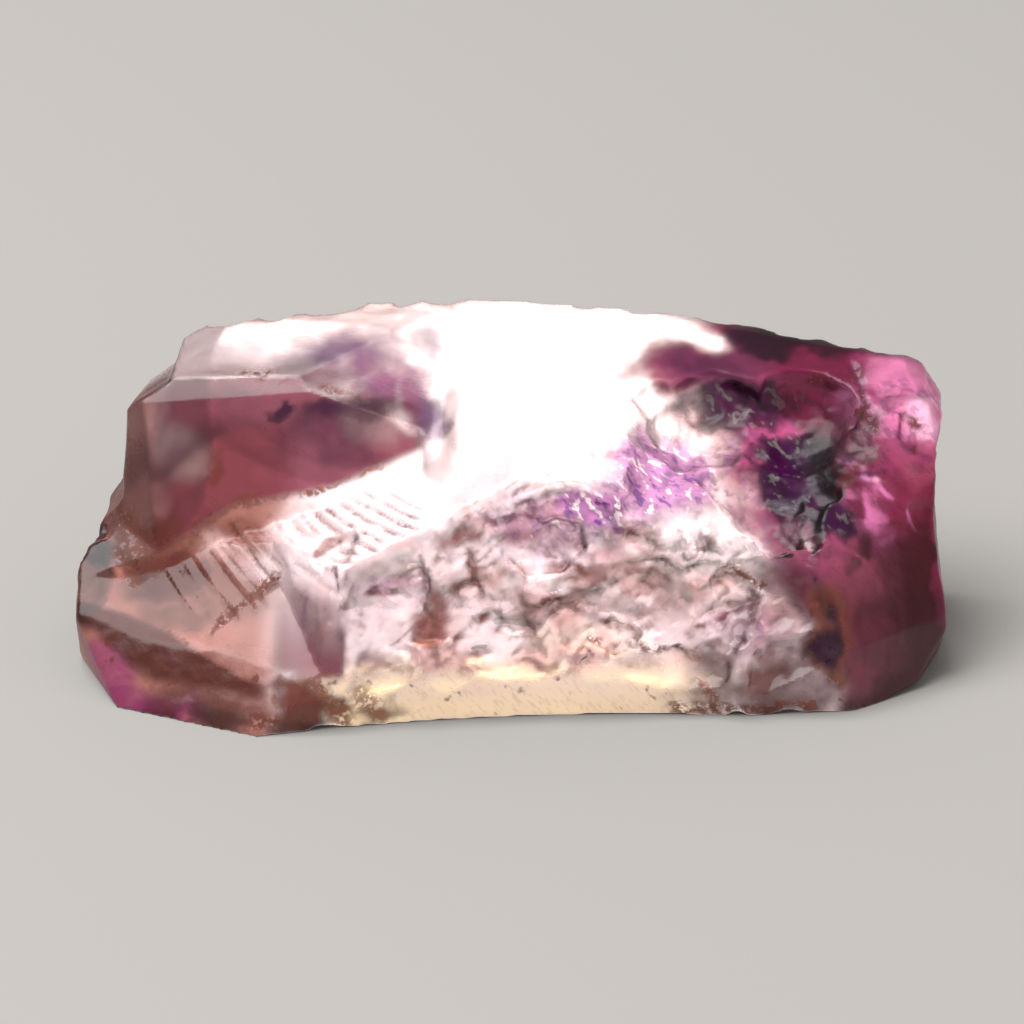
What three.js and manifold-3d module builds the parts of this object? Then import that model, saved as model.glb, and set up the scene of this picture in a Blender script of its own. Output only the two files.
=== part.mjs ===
// Rough ametrine: one broken piece of clear gem quartz, violet at its ends and pale yellow along its foot.
// Millimetres, +Z up. X runs along the piece and -Y is its showy broken front.
// It rests on a flat face at Z = 0.
// It is made the way a lump is knapped: a block, cut back by flat breaks, flake scars, dishes and chips.
import * as THREE from "three";
import { mergeVertices } from "three/addons/utils/BufferGeometryUtils.js";
import Module from "manifold-3d";

const wasm = await Module();
wasm.setup();

// Driving dimensions, in millimetres.
const LENGTH = 36;
const DEPTH = 15.5;
const HEIGHT = 13.4;
const CUT_REACH = 60; // every cutter is longer than the block

const point = (x, y, z) => new THREE.Vector3(x, y, z);
const direction = (x, y, z) => point(x, y, z).normalize();

// A repeatable stream of numbers from 0 to 1.
function seededRandom(seed) {
  let state = seed;
  return () => {
    state = (state + 0x6d2b79f5) | 0;
    let t = Math.imul(state ^ (state >>> 15), 1 | state);
    t = (t + Math.imul(t ^ (t >>> 7), 61 | t)) ^ t;
    return ((t ^ (t >>> 14)) >>> 0) / 4294967296;
  };
}

// --- From three.js geometry to a manifold-3d solid and back ---

function solid(geometry) {
  geometry.deleteAttribute("normal");
  geometry.deleteAttribute("uv");
  const merged = mergeVertices(geometry, 1e-4);
  return new wasm.Manifold(
    new wasm.Mesh({
      numProp: 3,
      vertProperties: merged.attributes.position.array,
      triVerts: new Uint32Array(merged.index.array),
    }),
  );
}

function geometryOf(piece) {
  const { vertProperties, triVerts, numProp } = piece.getMesh();
  const geometry = new THREE.BufferGeometry();
  geometry.setAttribute("position", new THREE.BufferAttribute(new Float32Array(vertProperties), numProp));
  geometry.setIndex(new THREE.BufferAttribute(new Uint32Array(triVerts), 1));
  return geometry;
}

const common = (first, ...others) => others.reduce((a, b) => a.intersect(b), first);
const cutAway = (piece, cutters) => cutters.reduce((rest, cutter) => rest.subtract(cutter), piece);

// --- Cutters: each is made around the origin, opening towards +Z, then aimed ---

function aim(geometry, at, outward, turn = 0) {
  const facing = new THREE.Quaternion().setFromUnitVectors(point(0, 0, 1), outward);
  geometry.rotateZ(turn);
  geometry.applyQuaternion(facing);
  geometry.translate(at.x, at.y, at.z);
  return geometry;
}

// Everything on the outward side of a plane.
function beyond({ at, outward }) {
  const box = new THREE.BoxGeometry(2 * CUT_REACH, 2 * CUT_REACH, CUT_REACH);
  box.translate(0, 0, CUT_REACH / 2);
  return solid(aim(box, at, outward));
}

// A notch is bounded by faces that meet in a hollow corner.
const notch = (...faces) => common(...faces.map(beyond));

// A profile of points (radius, height) spun about the outward axis, and open above.
function spun(profile, sides) {
  const rim = profile[profile.length - 1].x;
  const closed = [...profile, new THREE.Vector2(rim, CUT_REACH), new THREE.Vector2(0, CUT_REACH)];
  const shape = new THREE.LatheGeometry(closed, sides);
  shape.rotateX(Math.PI / 2); // the lathe's own axis is +Y
  return shape;
}

// Where a bowl's facets break, in half widths. It meets the surface at 1, and past that it cuts off bumps.
const COARSE = [0, 0.6, 1.5];
const FINE = [0, 0.35, 0.7, 1.05, 1.5];

// A shallow bowl, width by height across at the surface and depth deep, turned about its own axis.
function scoop({ at, outward }, { width, height = width, depth, turn = 0, breaks = COARSE, sides = 7 }) {
  const profile = breaks.map((r) => new THREE.Vector2(r, depth * (r * r - 1)));
  const bowl = spun(profile, sides);
  bowl.scale(width / 2, height / 2, 1);
  return solid(aim(bowl, at, outward, turn));
}

// The scar that a struck flake leaves around the point of the blow: a slight sag, and ripples past clear.
function rippledScar({ at, outward }, { reach, sag, clear, ripple, pitch, sides }) {
  const profile = [];
  for (let r = 0; r <= reach; r += r < clear ? pitch : pitch / 4) {
    const fade = THREE.MathUtils.smoothstep(r, clear, clear + 2 * pitch);
    const wave = fade * ripple * Math.sin((2 * Math.PI * (r - clear)) / pitch);
    profile.push(new THREE.Vector2(r, wave - sag * Math.sin((Math.PI * r) / reach)));
  }
  return solid(aim(spun(profile, sides), at, outward));
}

// --- The large faces ---

const face = (at, outward) => ({ at: point(...at), outward: direction(...outward) });

const TOP = {
  left: face([-8.7, 7.2, 12.7], [-0.09, -0.2, 0.97]),
  leftOfStep: face([-2.5, 4, 12], [-0.97, -0.1, 0.2]),
  rightOfStep: face([-2.55, 4, 12], [0.97, 0.1, -0.2]), // overlaps the left one, to leave no fin
  middle: face([0.6, 7.2, 13.2], [0.05, -0.37, 0.93]),
  right: face([7.4, 6.2, 12.45], [0.13, 0.05, 0.98]),
  rightCorner: face([17.8, 5, 10.3], [0.8, -0.1, 0.6]),
};
const FRONT = {
  upper: face([0, -2.45, 9.2], [0.05, -0.9, 0.42]),
  foot: face([0, -6.1, 0], [0.09, -1, -0.1]),
  window: face([-10.8, 0, 6.7], [-0.1, -0.9, 0.42]),
  windowEnd: face([-3.7, 0.6, 9.8], [-0.8, -0.55, 0.1]),
  windowBevel: face([-10, 2.2, 11.27], [-0.12, -0.62, 0.78]), // between the window and the roof
  windowCorner: face([-4.4, 0.5, 10], [0.107, -0.498, 0.861]), // a slope down to the window's right end
  windowLeft: face([-14.6, 0.4, 7], [-0.6, -0.75, 0.3]),
  scarBack: face([-2, -0.6, 10.1], [-0.05, -0.85, 0.5]),
  upperScar: face([1.5, 4.1, 12.2], [-0.35, -0.257, 0.9]),
  lowerScar: face([-15.74, -0.42, 4.62], [-0.258, -0.568, 0.782]),
  lowerStep: face([-11, -3.2, 4.2], [0.45, -1, 0.06]),
  lowerFan: face([-10.4, -3.2, 3.95], [-0.2, -0.6, 0.77]),
  scarWall: face([-8, -4.5, 4.4], [-0.75, -0.6, 0.35]),
  lowerLeft: face([-13.62, -3.45, 3.02], [-0.31, -0.77, 0.56]),
  lowerLeftTop: face([-13.7, -3.4, 5.5], [0, 0, -1]),
};
const LEFT = {
  shoulderEnd: face([-13.9, 5.6, 11], [-0.97, 0.11, 0.21]),
  shoulder: face([-14.3, 4.2, 10.9], [-0.5, 0.143, 0.909]),
  shoulderBevel: face([-15.45, 3.9, 10.2], [-0.77, 0.2, 0.6]),
  end: face([-16.15, 3, 7], [-0.99, -0.04, 0.08]),
  lobe: face([-17.25, 2.2, 4.95], [-0.81, 0.05, 0.6]),
  tipUpper: face([-17.8, -1.5, 4.5], [-0.98, -0.09, 0.25]),
  tipLower: face([-17.5, -3, 2.8], [-0.9, -0.38, -0.2]),
  tipCorner: face([-16.3, -5.4, 1.5], [-0.72, -0.68, -0.42]),
  tipFoot: face([-14.3, -6.7, 0.5], [-0.36, -0.7, -0.68]),
};
const RIGHT = {
  front: face([13.39, -4.74, 2.7], [0.43, -0.74, 0.51]),
  frontFoot: face([13.6, -4.7, 2.4], [0.5, -0.82, 0.15]),
  end: face([17.95, 0, 6], [0.98, -0.05, 0.05]),
  foot: face([15.6, -3.9, 0.1], [0.5, -0.45, -0.75]),
  corner: face([17.45, -3.4, 2.3], [0.88, -0.33, -0.34]),
};
const BACK = {
  upper: face([0, 7.4, 8], [0.02, 1, 0.1]),
  upperRight: face([6, 7.2, 9], [0.16, 1, 0.02]),
  shoulder: face([-3, 7.3, 12.8], [-0.03, 0.75, 0.66]),
  foot: face([0, 6.6, 2.4], [0.05, 0.8, -0.5]),
  left: face([-15.2, 5.5, 5], [-0.6, 0.75, 0.1]),
  right: face([16.8, 5.8, 6], [0.55, 0.8, 0.1]),
};

function block() {
  const box = new THREE.BoxGeometry(LENGTH, DEPTH, HEIGHT);
  box.translate(0, 0, HEIGHT / 2);
  return solid(box);
}

function largeBreaks() {
  const flat = [
    TOP.right, TOP.rightCorner, FRONT.upper, FRONT.foot,
    LEFT.shoulderBevel, LEFT.tipUpper, LEFT.tipLower, LEFT.tipCorner, LEFT.tipFoot,
    ...Object.values(RIGHT), ...Object.values(BACK),
  ];
  const rippled = rippledScar(FRONT.upperScar, {
    reach: 18, sag: 0.35, clear: 9.9, ripple: 0.06, pitch: 1.1, sides: 72,
  });
  return [
    ...flat.map(beyond),
    notch(TOP.left, TOP.leftOfStep),
    notch(FRONT.windowBevel, TOP.leftOfStep),
    notch(FRONT.windowCorner, TOP.leftOfStep),
    notch(TOP.middle, TOP.rightOfStep),
    notch(LEFT.shoulder, LEFT.shoulderEnd),
    notch(LEFT.end, LEFT.lobe),
    common(notch(FRONT.window, FRONT.windowEnd), rippled),
    common(beyond(FRONT.scarBack), rippled),
    notch(FRONT.windowLeft, FRONT.lowerScar),
    notch(FRONT.lowerLeft, FRONT.lowerLeftTop),
    notch(FRONT.window, FRONT.lowerScar, FRONT.scarWall),
    notch(FRONT.lowerStep, FRONT.lowerFan, FRONT.scarWall, FRONT.window),
  ];
}

// --- Dishes: flakes and hollows that are placed one by one ---

const HOLLOW_FACING = direction(0.05, -0.57, 0.82);
// The long dish under the broken front, where the frosted foot is hollowed.
const footDish = () => scoop(
  { at: point(-1, -6.05, 1), outward: FRONT.foot.outward },
  { width: 18, height: 9, depth: 0.6, breaks: FINE, sides: 20 },
);
const lowerScarDish = () => common(beyond(FRONT.window), scoop(
  { at: point(-13.2, -2.4, 4), outward: FRONT.lowerScar.outward },
  { width: 9.5, height: 6.5, depth: 0.5, turn: -0.5, breaks: FINE, sides: 12 },
));
// The waist of the right end.
const rightEndDish = () => scoop(
  { at: point(17.95, 1.5, 6.4), outward: direction(1, -0.03, 0.03) },
  { width: 7, height: 16, depth: 0.4, breaks: FINE, sides: 10 },
);
// The deep hollow near the right end, broken out by several overlapping blows.
const HOLLOW_BLOWS = [
  { at: [8.2, 1.6, 10], width: 6.5, height: 5.5, depth: 1.4, turn: 0.5 },
  { at: [11.6, 1.6, 9.9], width: 6, height: 6.5, depth: 1.7, turn: -0.3 },
  { at: [11, -1, 8.3], width: 6.5, height: 6, depth: 1.5, turn: 0.2 },
  { at: [7, -0.8, 9.5], width: 5, height: 4.5, depth: 0.8, turn: 0.9 },
];
const hollow = () => HOLLOW_BLOWS.map(({ at, ...size }) => (
  scoop({ at: point(...at), outward: HOLLOW_FACING }, size)
));

// The nick in the top edge, where the two roof faces meet.
const topNick = () => scoop(
  { at: point(-3, 7.1, 13.25), outward: direction(0, 0.3, 0.95) },
  { width: 2.4, height: 1.8, depth: 0.35 },
);
// Wide dishes on the sides away from the broken front.
const farDishes = () => [
  scoop(
    { at: point(-8, 7.7, 7.4), outward: BACK.upper.outward },
    { width: 13, height: 8, depth: 0.8, turn: 0.3, breaks: FINE, sides: 14 },
  ),
  scoop(
    { at: point(10.5, 7, 5.2), outward: BACK.upperRight.outward },
    { width: 10, height: 7, depth: 0.6, turn: -0.3, breaks: FINE, sides: 14 },
  ),
  scoop(
    { at: point(-17, 2.2, 2.6), outward: direction(-1, 0.2, 0) },
    { width: 6, height: 4, depth: 0.5, sides: 9 },
  ),
];

// Flutes down the broken front: [x, z, width, height, depth, turn].
const FLUTES = [
  [-5.3, 4.2, 3.9, 5.4, 0.8, 0.1],
  [-1.0, 4.4, 4.2, 6.0, 0.75, 0.2],
  [4.0, 4.7, 5.2, 4.6, 0.7, 0.6],
  [9.4, 4.9, 5.8, 4.6, 0.6, -0.2],
  [-2.6, 6.9, 3.4, 2.8, 0.4, 0.5],
  [2.0, 7.6, 4.6, 3.0, 0.5, 0.3],
  [6.4, 8.0, 4.0, 3.2, 0.5, -0.4],
  [7.6, 2.9, 4.0, 2.6, 0.4, 0.4],
];

// --- Blows: cutters that land where a straight line meets the piece ---

function asTarget(piece) {
  const target = new THREE.Mesh(geometryOf(piece));
  target.updateMatrixWorld();
  return target;
}

// Where a blow lands, and which way the surface faces there. A blow may miss.
function landing(target, from, towards) {
  const [hit] = new THREE.Raycaster(from, towards).intersectObject(target);
  return hit && { at: hit.point, outward: hit.face.normal };
}

function flutes(piece) {
  const target = asTarget(piece);
  const inwards = direction(0, 1, 0);
  return FLUTES.map(([x, z, width, height, depth, turn]) => {
    const landed = landing(target, point(x, -CUT_REACH, z), inwards);
    return scoop(landed, { width, height, depth, turn, breaks: FINE, sides: 10 });
  });
}

// Small chips on a jittered grid over a patch, which is a rectangle seen along the direction of the blows.
function chips(patch, piece) {
  const random = seededRandom(patch.seed);
  const between = ([low, high]) => low + (high - low) * random();
  const jitter = (amount) => between([-amount, amount]);
  const target = asTarget(piece);
  const towards = direction(...patch.towards);
  const across = direction(...patch.across);
  const up = point(0, 0, 0).crossVectors(across, towards);
  const [columns, rows] = patch.grid;
  const [columnPitch, rowPitch] = patch.pitch;
  const cutters = [];
  for (let row = 0; row < rows; row++) {
    for (let column = 0; column < columns; column++) {
      const stagger = row % 2 ? 0.5 : 0;
      const from = point(...patch.centre)
        .addScaledVector(across, (column + stagger - columns / 2 + jitter(0.4)) * columnPitch)
        .addScaledVector(up, (row - rows / 2 + jitter(0.4)) * rowPitch)
        .addScaledVector(towards, -CUT_REACH);
      const width = between(patch.size);
      const size = { width, height: width * between([0.45, 0.9]), depth: between(patch.depth) };
      const turn = patch.lean + jitter(0.5);
      const tilt = point(jitter(0.2), jitter(0.2), jitter(0.2));
      const landed = landing(target, from, towards);
      if (!landed || landed.at.distanceTo(SMOOTH_SCAR.at) < SMOOTH_SCAR.radius) continue;
      // Halfway between square to the surface and along the blow, so that no chip undercuts a wall.
      landed.outward.sub(towards).normalize().add(tilt).normalize();
      cutters.push(scoop(landed, { ...size, turn }));
    }
  }
  return cutters;
}

// The middle of the upper scar stays smooth.
const SMOOTH_SCAR = { at: point(-4.4, -0.9, 8.6), radius: 3.8 };

const FROM_FRONT = { towards: [0, 0.883, -0.469], across: [1, 0, 0] };
const PATCHES = [
  // The broken front: large chips, then small ones over them.
  { ...FROM_FRONT, seed: 3, centre: [3.6, -4, 5.7], grid: [6, 3], pitch: [3.2, 2.3],
    size: [2.8, 4.6], depth: [0.25, 0.55], lean: 0.5 },
  { ...FROM_FRONT, seed: 5, centre: [4.0, -3.6, 6.3], grid: [10, 5], pitch: [1.85, 1.6],
    size: [1.3, 2.6], depth: [0.1, 0.3], lean: 0.5 },
  // The deep hollow, and the lump in the corner beside it.
  { ...FROM_FRONT, seed: 9, centre: [10.6, 0, 9.3], grid: [6, 5], pitch: [1.6, 1.5],
    size: [1.6, 2.8], depth: [0.15, 0.45], lean: -0.8 },
  { ...FROM_FRONT, seed: 12, centre: [16.2, 1.5, 8.6], grid: [3, 3], pitch: [1.4, 1.4],
    size: [1.2, 2.4], depth: [0.08, 0.25], lean: 0.3 },
];

// Nibbles along an edge from one point to another, as knocks leave them.
function nibbles({ seed, from, to, outward, count, size, depth }) {
  const random = seededRandom(seed);
  const between = ([low, high]) => low + (high - low) * random();
  return Array.from({ length: count }, (_, i) => {
    const along = (i + between([0.1, 0.9])) / count;
    const at = point(...from).lerp(point(...to), along);
    const tilt = point(between([-0.3, 0.3]), between([-0.3, 0.3]), between([-0.3, 0.3]));
    const facing = direction(...outward).add(tilt).normalize();
    const width = between(size);
    const height = width * between([0.5, 1]);
    return scoop({ at, outward: facing }, { width, height, depth: between(depth), turn: 6 * random() });
  });
}

const EDGES = [
  // The front edge of the left roof face.
  { seed: 21, from: [-13.2, 1.9, 11.2], to: [-4.2, 1.1, 11.2], outward: [-0.05, -0.6, 0.8],
    count: 8, size: [0.9, 2.2], depth: [0.1, 0.25] },
  // The top back edge, from left to right.
  { seed: 22, from: [-12.9, 6.7, 11.9], to: [-2.8, 7.2, 12.9], outward: [0, 0.5, 0.86],
    count: 5, size: [0.9, 2.4], depth: [0.03, 0.1] },
  { seed: 23, from: [-1.8, 7.15, 13], to: [7, 7, 12.5], outward: [0, 0.5, 0.86],
    count: 3, size: [1, 2.4], depth: [0.05, 0.15] },
  { seed: 28, from: [7.8, 6.9, 12.1], to: [16.6, 5.7, 10.8], outward: [0.1, 0.5, 0.86],
    count: 4, size: [1, 2.4], depth: [0.05, 0.15] },
  // The ridge from the left tip down to the foot.
  { seed: 24, from: [-17.6, -0.8, 4], to: [-9.5, -6.6, 2.1], outward: [-0.3, -0.7, 0.65],
    count: 7, size: [0.7, 1.6], depth: [0.08, 0.2] },
  // The left end of the window.
  { seed: 25, from: [-16, 1.6, 9], to: [-16.9, 1.2, 4.9], outward: [-0.8, -0.4, 0.3],
    count: 6, size: [0.8, 2], depth: [0.15, 0.35] },
  // The ridge between the broken front and the right end.
  { seed: 26, from: [11.4, -3.2, 6.2], to: [13.4, -4.7, 2.7], outward: [0.3, -0.85, 0.4],
    count: 5, size: [0.8, 1.8], depth: [0.1, 0.3] },
  // The front edge of the face it rests on.
  { seed: 27, from: [-8, -6.4, 0.15], to: [13, -4.9, 0.1], outward: [0, -0.75, -0.65],
    count: 9, size: [0.9, 2.2], depth: [0.1, 0.2] },
];

// --- The piece ---

function ametrine() {
  let piece = cutAway(block(), largeBreaks());
  const dishes = [footDish(), lowerScarDish(), rightEndDish(), topNick(), ...hollow(), ...farDishes()];
  piece = cutAway(piece, dishes);
  piece = cutAway(piece, flutes(piece));
  for (const patch of PATCHES) piece = cutAway(piece, chips(patch, piece));
  piece = cutAway(piece, EDGES.flatMap(nibbles));
  const faceted = geometryOf(piece).toNonIndexed();
  faceted.computeBoundingBox();
  const middle = faceted.boundingBox.getCenter(point(0, 0, 0));
  faceted.translate(-middle.x, -middle.y, -faceted.boundingBox.min.z); // the origin is under its middle
  faceted.computeVertexNormals();
  const mesh = new THREE.Mesh(
    faceted,
    new THREE.MeshStandardMaterial({ color: 0xc9a5d0, roughness: 0.2, metalness: 0 }),
  );
  mesh.name = "ametrine";
  return mesh;
}

const group = new THREE.Group();
group.add(ametrine());
export default group;
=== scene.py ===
"""The looks of a rough ametrine: its fine surface and gem material, with a floor, lights and camera.

Shapes are worked out in millimetres in the row frame, and scaled to metres at the end.
"""
import math

import bmesh
import bpy
import numpy as np
from mathutils import Matrix, Vector, noise
from mathutils.bvhtree import BVHTree


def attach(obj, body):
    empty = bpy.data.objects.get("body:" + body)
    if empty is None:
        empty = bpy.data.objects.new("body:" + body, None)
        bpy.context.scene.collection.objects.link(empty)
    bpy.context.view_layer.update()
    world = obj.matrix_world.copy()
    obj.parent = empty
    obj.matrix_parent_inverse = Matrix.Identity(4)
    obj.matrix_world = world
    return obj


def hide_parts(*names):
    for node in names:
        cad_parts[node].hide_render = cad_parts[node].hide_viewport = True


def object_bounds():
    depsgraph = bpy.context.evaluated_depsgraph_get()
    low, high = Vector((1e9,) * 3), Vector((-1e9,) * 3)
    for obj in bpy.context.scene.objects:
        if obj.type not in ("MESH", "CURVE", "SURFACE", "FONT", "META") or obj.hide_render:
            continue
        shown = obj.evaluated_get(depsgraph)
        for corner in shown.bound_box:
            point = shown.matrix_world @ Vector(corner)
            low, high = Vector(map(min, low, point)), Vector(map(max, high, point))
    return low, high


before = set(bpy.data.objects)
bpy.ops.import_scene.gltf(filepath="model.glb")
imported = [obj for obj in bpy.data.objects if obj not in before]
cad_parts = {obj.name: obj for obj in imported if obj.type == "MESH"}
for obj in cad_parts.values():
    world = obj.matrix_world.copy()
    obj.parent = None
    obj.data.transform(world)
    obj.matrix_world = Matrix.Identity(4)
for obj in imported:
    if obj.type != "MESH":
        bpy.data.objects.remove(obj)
CAD_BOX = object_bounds()

NODE = "ametrine"
MM = 0.001  # a millimetre, in metres
QUAD = 0.15  # side of the fine mesh's faces, in mm
LEAN = math.radians(52)  # how steeply the stone's fine grain runs down to the right

# Places on the stone and sizes, in mm, and the ways its faces look.
BLOW = [1.5, 3.8, 12.2]  # where the flake was struck off, in the middle of its ripples
SCAR_FACING = [-0.35, -0.257, 0.9]
LOWER_SCAR = [-11.6, -1.9, 4.7]
LOWER_SCAR_FACING = [-0.26, -0.57, 0.78]
STREAKS_ACROSS = [0.75, 0.3, 0.45]  # the streaks on the lower scar run square to this
# The brown face under the ridge at the left tip: its upper and lower edges, as x and z.
LOW_FACE_TOP = ([-17.2, -16.6, -14.2, -12.7, -10.8], [3.2, 3.1, 2.75, 2.35, 1.8])
LOW_FACE_FOOT = ([-17.2, -15.6, -14.6, -10.6], [2.8, 1.8, 1.5, 1.5])
ROOF_FACING = [-0.09, -0.2, 0.97]
WINDOW_FACING = [-0.1, -0.9, 0.42]
HOLLOW = [11.0, 0.6, 8.6]
CORNER = [16.4, 1.8, 9.7]
# Two places worn round, as the middle and radii of an ellipsoid, and how far all such places are smoothed.
ROUNDED = [([-10.4, 7.0, 12.6], [1.0, 1.4, 1.4]), ([13.4, 1.0, 9.0], [2.8, 2.6, 2.4])]
ROUNDING_SHARE = 0.9
ROUNDING_STEPS = 30
# Every edge is softened this much, so that none is knife-sharp.
SOFTENING_SHARE = 0.3
SOFTENING_STEPS = 2
RIPPLE_SPACING = 0.52
RIPPLE_HEIGHT = 0.04
STREAK_SPACINGS = (0.71, 0.43)  # broad streaks and fine ones
STREAK_HEIGHT = 0.04


# --- Arrays of numbers, one for each point of the surface ---


def smooth_step(low, high, values):
    """0 at low, 1 at high, and a smooth change between them. Low may be the larger."""
    t = np.clip((values - low) / (high - low), 0, 1)
    return t * t * (3 - 2 * t)


def unit(vector):
    return np.array(vector) / np.linalg.norm(vector)


def facing(normals, outward, spread):
    """1 where the surface faces outward, falling to 0 at spread degrees from it."""
    angle = np.degrees(np.arccos(np.clip(normals @ unit(outward), -1, 1)))
    return smooth_step(spread, spread / 2, angle)


def ball(points, centre, radii, edge=0.35):
    """1 inside an ellipsoid, falling to 0 at its skin over the outer share of its radius given by edge."""
    reach = np.linalg.norm((points - np.array(centre)) / np.array(radii), axis=1)
    return smooth_step(1, 1 - edge, reach)


def streak(points, start, end, radius):
    """1 along the line from start to end, falling to 0 at radius from it."""
    start, line = np.array(start), np.array(end) - np.array(start)
    along = np.clip((points - start) @ line / max(line @ line, 1e-9), 0, 1)
    gap = np.linalg.norm(points - start - along[:, None] * line, axis=1)
    return smooth_step(radius, 0.3 * radius, gap)


def lumps(points, size, octaves=3, seed=0):
    """Smooth noise, about -1 to 1, with lumps of that size in mm."""
    places = (points / size + 31.7 * (seed + 1)).tolist()
    return np.array([noise.fractal(p, 1.0, 2.0, octaves) for p in places])


def cells(points, size, seed=0):
    """How far each point is from its nearest cell middle, in cell sizes."""
    places = (points / size + 23.9 * (seed + 1)).tolist()
    return np.array([noise.voronoi(p)[0][0] for p in places])


def scales(points, size, seed=0):
    """Overlapping scales like broken flakes: each cell is a tilted flat, from 0 to 1 across it."""
    places = (points / size + 11.1 * (seed + 1)).tolist()
    result = np.empty(len(places))
    for i, place in enumerate(places):
        middle = noise.voronoi(place)[1][0]
        tilt = noise.cell_vector(middle * 7.3)
        result[i] = (Vector(place) - middle).dot(tilt - Vector((0.5, 0.5, 0.5)))
    return result


# --- The fine mesh ---


def cad_surface(node):
    """The node's closed faceted surface, in mm."""
    surface = bmesh.new()
    surface.from_mesh(node.data)
    surface.transform(Matrix.Scale(1 / MM, 4))
    bmesh.ops.remove_doubles(surface, verts=surface.verts, dist=1e-4)
    return surface


def remeshed(surface, name, size):
    """A new object with an even mesh over the surface."""
    mesh = bpy.data.meshes.new(name)
    surface.to_mesh(mesh)
    obj = bpy.data.objects.new(name, mesh)
    bpy.context.scene.collection.objects.link(obj)
    modifier = obj.modifiers.new("Even", "REMESH")
    modifier.mode = "VOXEL"
    modifier.voxel_size = size
    evaluated = obj.evaluated_get(bpy.context.evaluated_depsgraph_get())
    fine = bpy.data.meshes.new_from_object(evaluated)
    obj.modifiers.clear()
    obj.data = fine
    bpy.data.meshes.remove(mesh)
    fine.name = name
    return obj


class Skin:
    """The fine mesh's points, in mm, and ways to move them."""

    def __init__(self, mesh):
        self.mesh = mesh
        self.count = len(mesh.vertices)
        coordinates = np.empty(self.count * 3)
        mesh.vertices.foreach_get("co", coordinates)
        self.points = coordinates.reshape(-1, 3)
        edges = np.empty(len(mesh.edges) * 2, np.int64)
        mesh.edges.foreach_get("vertices", edges)
        self.edges = edges.reshape(-1, 2)
        self.degree = np.bincount(edges, minlength=self.count)[:, None]

    def store(self):
        self.mesh.vertices.foreach_set("co", self.points.ravel())
        self.mesh.update()

    def normals(self):
        self.store()
        normals = np.empty(self.count * 3, np.float32)
        self.mesh.vertex_normals.foreach_get("vector", normals)
        return normals.reshape(-1, 3).astype(float)

    def neighbours_mean(self, values):
        a, b = self.edges.T
        total = [
            np.bincount(a, column[b], self.count) + np.bincount(b, column[a], self.count)
            for column in values.T
        ]
        return np.stack(total, 1) / self.degree

    def snap(self, surface):
        """Moves each point to the nearest place on the faceted surface."""
        tree = BVHTree.FromBMesh(surface)
        self.points = np.array([tree.find_nearest(p)[0] for p in self.points.tolist()])

    def relax(self, share, times):
        """Moves each point by its share of the way to the middle of its neighbours, several times."""
        for _ in range(times):
            self.points += share[:, None] * (self.neighbours_mean(self.points) - self.points)

    def raise_by(self, heights):
        self.points += heights[:, None] * self.normals()

    def hollowness(self, times):
        """How far each point lies under the surface smoothed that many times, in mm: creases +, ridges -."""
        smoothed = self.points
        for _ in range(times):
            smoothed = (smoothed + self.neighbours_mean(smoothed)) / 2
        return np.einsum("ij,ij->i", smoothed - self.points, self.normals())


def areas(points, normals):
    """How much each point belongs to each kind of surface, 0 to 1. Lengths are in mm, angles in degrees."""
    x, y, z = points.T
    scar = facing(normals, SCAR_FACING, 45) * smooth_step(-12.5, -11, x) * smooth_step(0.5, -0.5, x)
    scar *= smooth_step(5.0, 5.6, z) * smooth_step(10.6, 10.0, z) * smooth_step(1.4, 0.4, y)
    front = smooth_step(-9, -8, x) * smooth_step(14.0, 12.8, x) * smooth_step(1.7, 2.4, z)
    front *= smooth_step(-1.4, -2.4, y + 0.25 * (z - 9)) * smooth_step(10, 9, z)
    front *= 1 - np.maximum(scar, ball(points, [-4.4, -1.2, 8.6], [4.0, 3.0, 2.2]))
    hollow = ball(points, HOLLOW, [5.4, 5.2, 3.6])
    scaly = np.maximum(ball(points, [6.0, -1.2, 8.6], [4.6, 3.4, 2.6], 0.5), hollow)
    low_face = smooth_step(-9.6, -10.6, x) * smooth_step(-1.2, -2.2, y)
    low_face *= smooth_step(0.12, -0.12, z - np.interp(x, *LOW_FACE_TOP))
    low_face *= smooth_step(-0.6, 0.1, z - np.interp(x, *LOW_FACE_FOOT))
    return {
        "scar": scar,
        "lower_scar": facing(normals, LOWER_SCAR_FACING, 55) * ball(points, LOWER_SCAR, [3.6, 3.0, 2.4]),
        "hackly": np.maximum(front, scaly),
        "scaly": scaly,
        "hollow": hollow,
        "corner": ball(points, CORNER, [3.4, 3.6, 3.2], 0.6),
        "foot": facing(normals, [0.05, -1, -0.1], 40) * smooth_step(2.8, 2.0, z) * smooth_step(-9.6, -8.6, x),
        "brown": smooth_step(3.4, 2.6, z) * smooth_step(-8.5, -10, x),
        "low_face": low_face,
        "window": facing(normals, WINDOW_FACING, 16) * smooth_step(-3.6, -4.2, x) * smooth_step(4.6, 5.2, z),
        "roof": facing(normals, ROOF_FACING, 30) * smooth_step(10.6, 11.2, z),
        "step": smooth_step(1.0, 0.4, np.abs(x + 2.7)) * smooth_step(7.4, 8.0, z) * smooth_step(6.8, 6.2, y),
        "left": facing(normals, [-1, 0, 0.15], 50) * smooth_step(-13.5, -15, x),
        "right": smooth_step(12.8, 13.8, x) * smooth_step(9.4, 7.6, z),
        "back": facing(normals, [0, 1, 0], 80),
        "base": facing(normals, [0, 0, -1], 40),
    }


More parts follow.
